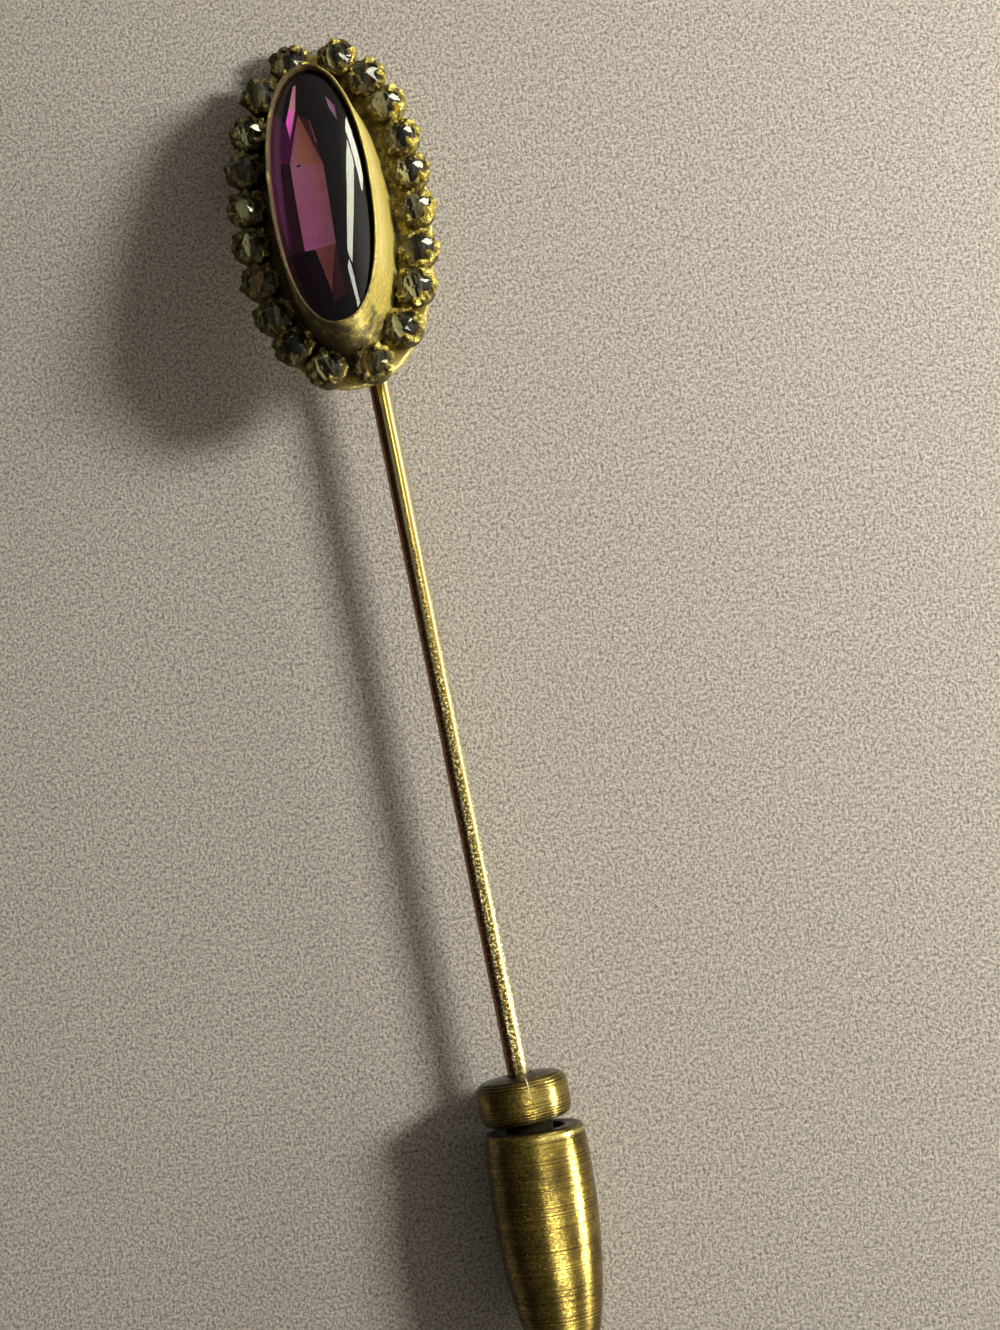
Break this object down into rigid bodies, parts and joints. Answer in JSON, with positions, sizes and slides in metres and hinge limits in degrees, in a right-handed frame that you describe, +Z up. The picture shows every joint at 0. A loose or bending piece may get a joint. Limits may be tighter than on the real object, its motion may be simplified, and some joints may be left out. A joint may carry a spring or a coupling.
{
  "type": "stick pin with clutch",
  "caption": "Stick pin for a lapel: a long domed violet stone in an oval bezel with a halo of small round stones, on a straight stem with a push-on clutch.",
  "frame": {"origin": "middle of the whole pin's length and width, on the surface that it lies on", "axes": "+Y along the stem towards the stone, +Z up from the surface that the pin lies on, +X across the head"},
  "size_m": [0.009, 0.0595, 0.0073],
  "materials": {
    "gilt": "worn brushed gilt with dark tarnish in the hollows",
    "violet_glass": "polished dome over a faceted underside",
    "paste": "small faceted stones, smoky with age",
    "antique_brass": "turned, with fine lathe lines and an olive-brown patina"
  },
  "bodies": {
    "pin": {"setting_with_stem": "gilt", "center_stone": "violet_glass", "halo_stone_01": "paste", "halo_stone_02": "paste", "halo_stone_03": "paste", "halo_stone_04": "paste", "halo_stone_05": "paste", "halo_stone_06": "paste", "halo_stone_07": "paste", "halo_stone_08": "paste", "halo_stone_09": "paste", "halo_stone_10": "paste", "halo_stone_11": "paste", "halo_stone_12": "paste", "halo_stone_13": "paste", "halo_stone_14": "paste", "halo_stone_15": "paste", "halo_stone_16": "paste", "halo_stone_17": "paste", "halo_stone_18": "paste", "halo_stone_19": "paste", "halo_stone_20": "paste"},
    "barrel": {"clutch_barrel": "antique_brass"},
    "collar": {"clutch_collar": "antique_brass"}
  },
  "joints": [
    {"name": "clutch_slide", "type": "slide", "parent": "pin", "child": "barrel", "axis": [0, -1, 0], "range_m": [0, 0.045]},
    {"name": "collar_press", "type": "slide", "parent": "barrel", "child": "collar", "axis": [0, -1, 0], "range_m": [0, 0.00015], "stiffness_N_per_m": 20, "springref_m": -0.003}
  ]
}
